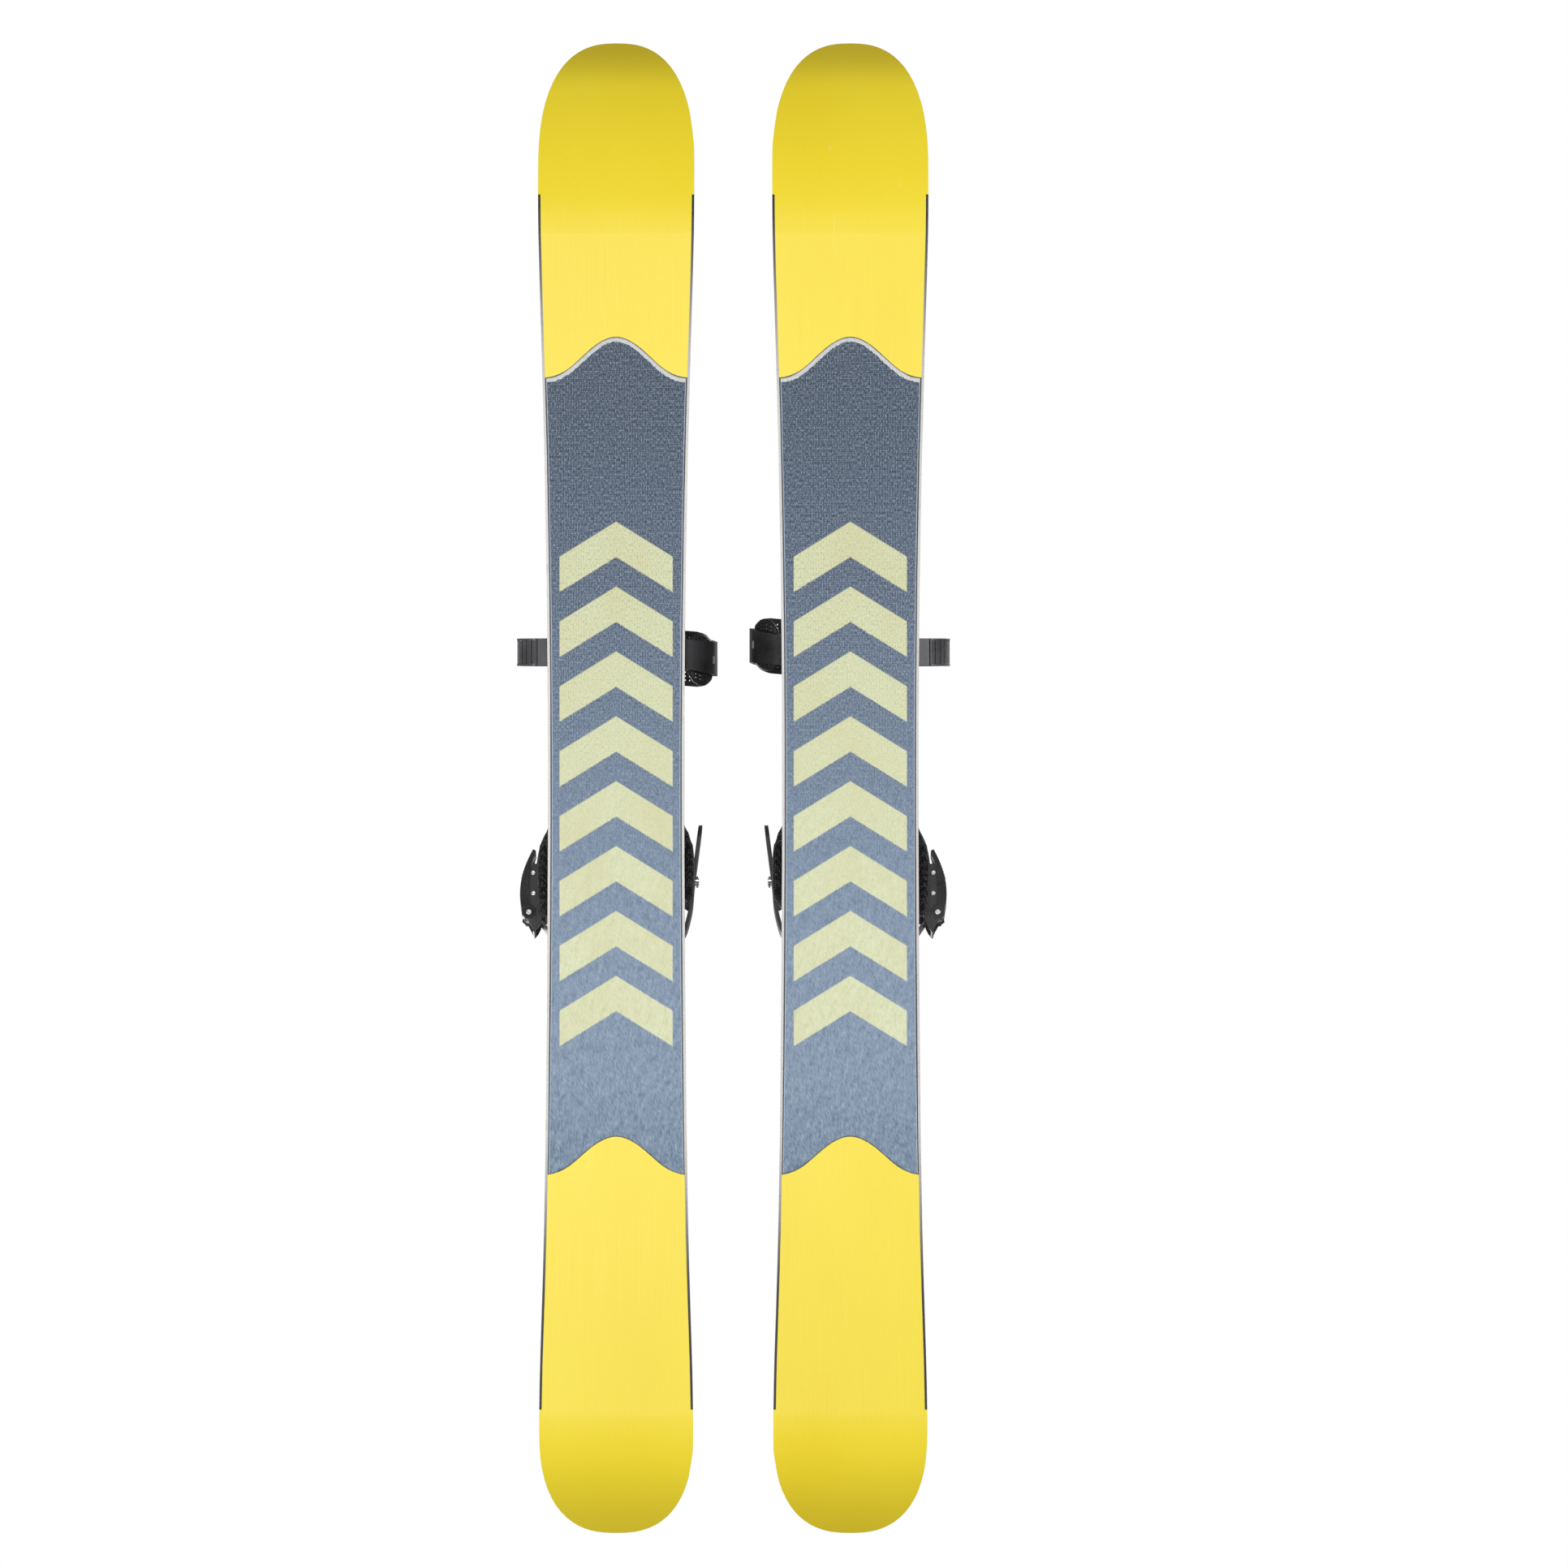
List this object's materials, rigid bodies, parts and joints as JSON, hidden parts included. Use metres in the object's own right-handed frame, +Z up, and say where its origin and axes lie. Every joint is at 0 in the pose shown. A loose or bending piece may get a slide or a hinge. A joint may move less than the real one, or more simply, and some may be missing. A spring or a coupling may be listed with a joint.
{
  "type": "touring skis with strap bindings",
  "caption": "Pair of short, wide touring skis with inlaid climbing skins, part-length steel edges and free-heel ratchet-strap bindings that take an ordinary boot.",
  "frame": {"origin": "on the ground under the middle of the pair", "axes": "+Y to the ski tips, +Z up from the ground, +X to the skier's right"},
  "size_m": [0.3532, 1.212, 0.1412],
  "materials": {
    "base": "waxed polyethylene, satin",
    "climbing_skin": "ribbed plush",
    "steel": "ground",
    "core": "laminated",
    "sidewall": "milled",
    "topsheet": "satin",
    "mount_plate": "moulded",
    "moulded": "fine grain",
    "foot_plate": "fine grain",
    "grip_rubber": "ribbed",
    "strap_rubber": "smooth",
    "ladder": "smooth",
    "pad_fabric": "perforated mesh",
    "lever": "gloss"
  },
  "bodies": {
    "right_ski": {"right_base": "base", "right_climbing_skin": "climbing_skin", "right_steel_edges": "steel", "right_core": "core", "right_sidewalls": "sidewall", "right_topsheet": "topsheet", "right_binding_mount_plate": "mount_plate", "right_heel_rest": "moulded", "right_mount_screws": "steel", "right_pivot_pin": "steel"},
    "right_foot_bed": {"right_foot_plate": "foot_plate", "right_foot_grip_pads": "grip_rubber", "right_strap_bolts": "steel"},
    "right_toe_band": {"right_toe_inner_strap": "strap_rubber", "right_toe_ladder": "ladder", "right_toe_pad": "strap_rubber", "right_toe_buckle_base": "moulded", "right_toe_buckle_pins_and_springs": "steel"},
    "right_toe_lever": {"right_toe_buckle_lever": "lever"},
    "right_toe_pawl": {"right_toe_buckle_release": "moulded"},
    "right_ankle_band": {"right_ankle_inner_strap": "strap_rubber", "right_ankle_ladder": "ladder", "right_ankle_pad": "pad_fabric", "right_ankle_buckle_base": "moulded", "right_ankle_buckle_pins_and_springs": "steel"},
    "right_ankle_lever": {"right_ankle_buckle_lever": "lever"},
    "right_ankle_pawl": {"right_ankle_buckle_release": "moulded"},
    "right_heel_band": {"right_heel_strap": "strap_rubber", "right_heel_strap_keeper": "moulded"},
    "left_ski": {"left_base": "base", "left_climbing_skin": "climbing_skin", "left_steel_edges": "steel", "left_core": "core", "left_sidewalls": "sidewall", "left_topsheet": "topsheet", "left_binding_mount_plate": "mount_plate", "left_heel_rest": "moulded", "left_mount_screws": "steel", "left_pivot_pin": "steel"},
    "left_foot_bed": {"left_foot_plate": "foot_plate", "left_foot_grip_pads": "grip_rubber", "left_strap_bolts": "steel"},
    "left_toe_band": {"left_toe_inner_strap": "strap_rubber", "left_toe_ladder": "ladder", "left_toe_pad": "strap_rubber", "left_toe_buckle_base": "moulded", "left_toe_buckle_pins_and_springs": "steel"},
    "left_toe_lever": {"left_toe_buckle_lever": "lever"},
    "left_toe_pawl": {"left_toe_buckle_release": "moulded"},
    "left_ankle_band": {"left_ankle_inner_strap": "strap_rubber", "left_ankle_ladder": "ladder", "left_ankle_pad": "pad_fabric", "left_ankle_buckle_base": "moulded", "left_ankle_buckle_pins_and_springs": "steel"},
    "left_ankle_lever": {"left_ankle_buckle_lever": "lever"},
    "left_ankle_pawl": {"left_ankle_buckle_release": "moulded"},
    "left_heel_band": {"left_heel_strap": "strap_rubber", "left_heel_strap_keeper": "moulded"}
  },
  "joints": [
    {"name": "right_heel_lift", "type": "hinge", "parent": "right_ski", "child": "right_foot_bed", "pos_m": [0.095, 0.15, 0.027], "axis": [-1, 0, 0], "range_deg": [0, 70]},
    {"name": "right_toe_strap_swing", "type": "hinge", "parent": "right_foot_bed", "child": "right_toe_band", "pos_m": [0.095, 0.11, 0.038], "axis": [-1, 0, 0], "range_deg": [-15, 20]},
    {"name": "right_toe_lever_open", "type": "hinge", "parent": "right_toe_band", "child": "right_toe_lever", "pos_m": [0.113, 0.11, 0.1339], "axis": [0, 1, 0], "range_deg": [0, 75], "stiffness_Nm_per_rad": 0.02, "springref_deg": -17.19},
    {"name": "right_toe_pawl_release", "type": "hinge", "parent": "right_toe_band", "child": "right_toe_pawl", "pos_m": [0.097, 0.11, 0.1303], "axis": [0, -1, 0], "range_deg": [0, 5], "stiffness_Nm_per_rad": 0.02, "springref_deg": -17.19},
    {"name": "right_ankle_strap_swing", "type": "hinge", "parent": "right_foot_bed", "child": "right_ankle_band", "pos_m": [0.095, -0.134, 0.04], "axis": [1, 0, 0], "range_deg": [0, 55]},
    {"name": "right_ankle_lever_open", "type": "hinge", "parent": "right_ankle_band", "child": "right_ankle_lever", "pos_m": [0.1662, -0.10466, 0.04624], "axis": [0, 0.2079, -0.9781], "range_deg": [0, 75], "stiffness_Nm_per_rad": 0.02, "springref_deg": -17.19},
    {"name": "right_ankle_pawl_release", "type": "hinge", "parent": "right_ankle_band", "child": "right_ankle_pawl", "pos_m": [0.1626, -0.08901, 0.04956], "axis": [0, -0.2079, 0.9781], "range_deg": [0, 5], "stiffness_Nm_per_rad": 0.02, "springref_deg": -17.19},
    {"name": "right_heel_strap_swing", "type": "hinge", "parent": "right_foot_bed", "child": "right_heel_band", "pos_m": [0.095, -0.16, 0.04], "axis": [-1, 0, 0], "range_deg": [-8, 35]},
    {"name": "left_heel_lift", "type": "hinge", "parent": "left_ski", "child": "left_foot_bed", "pos_m": [-0.095, 0.15, 0.027], "axis": [-1, 0, 0], "range_deg": [0, 70]},
    {"name": "left_toe_strap_swing", "type": "hinge", "parent": "left_foot_bed", "child": "left_toe_band", "pos_m": [-0.095, 0.11, 0.038], "axis": [-1, 0, 0], "range_deg": [-15, 20]},
    {"name": "left_toe_lever_open", "type": "hinge", "parent": "left_toe_band", "child": "left_toe_lever", "pos_m": [-0.113, 0.11, 0.1339], "axis": [0, -1, 0], "range_deg": [0, 75], "stiffness_Nm_per_rad": 0.02, "springref_deg": -17.19},
    {"name": "left_toe_pawl_release", "type": "hinge", "parent": "left_toe_band", "child": "left_toe_pawl", "pos_m": [-0.097, 0.11, 0.1303], "axis": [0, 1, 0], "range_deg": [0, 5], "stiffness_Nm_per_rad": 0.02, "springref_deg": -17.19},
    {"name": "left_ankle_strap_swing", "type": "hinge", "parent": "left_foot_bed", "child": "left_ankle_band", "pos_m": [-0.095, -0.134, 0.04], "axis": [1, 0, 0], "range_deg": [0, 55]},
    {"name": "left_ankle_lever_open", "type": "hinge", "parent": "left_ankle_band", "child": "left_ankle_lever", "pos_m": [-0.1662, -0.10466, 0.04624], "axis": [0, -0.2079, 0.9781], "range_deg": [0, 75], "stiffness_Nm_per_rad": 0.02, "springref_deg": -17.19},
    {"name": "left_ankle_pawl_release", "type": "hinge", "parent": "left_ankle_band", "child": "left_ankle_pawl", "pos_m": [-0.1626, -0.08901, 0.04956], "axis": [0, 0.2079, -0.9781], "range_deg": [0, 5], "stiffness_Nm_per_rad": 0.02, "springref_deg": -17.19},
    {"name": "left_heel_strap_swing", "type": "hinge", "parent": "left_foot_bed", "child": "left_heel_band", "pos_m": [-0.095, -0.16, 0.04], "axis": [-1, 0, 0], "range_deg": [-8, 35]},
    {"name": "left_ski_stride", "type": "slide", "parent": "right_ski", "child": "left_ski", "axis": [0, 1, 0], "range_m": [-0.3, 0.3]}
  ]
}
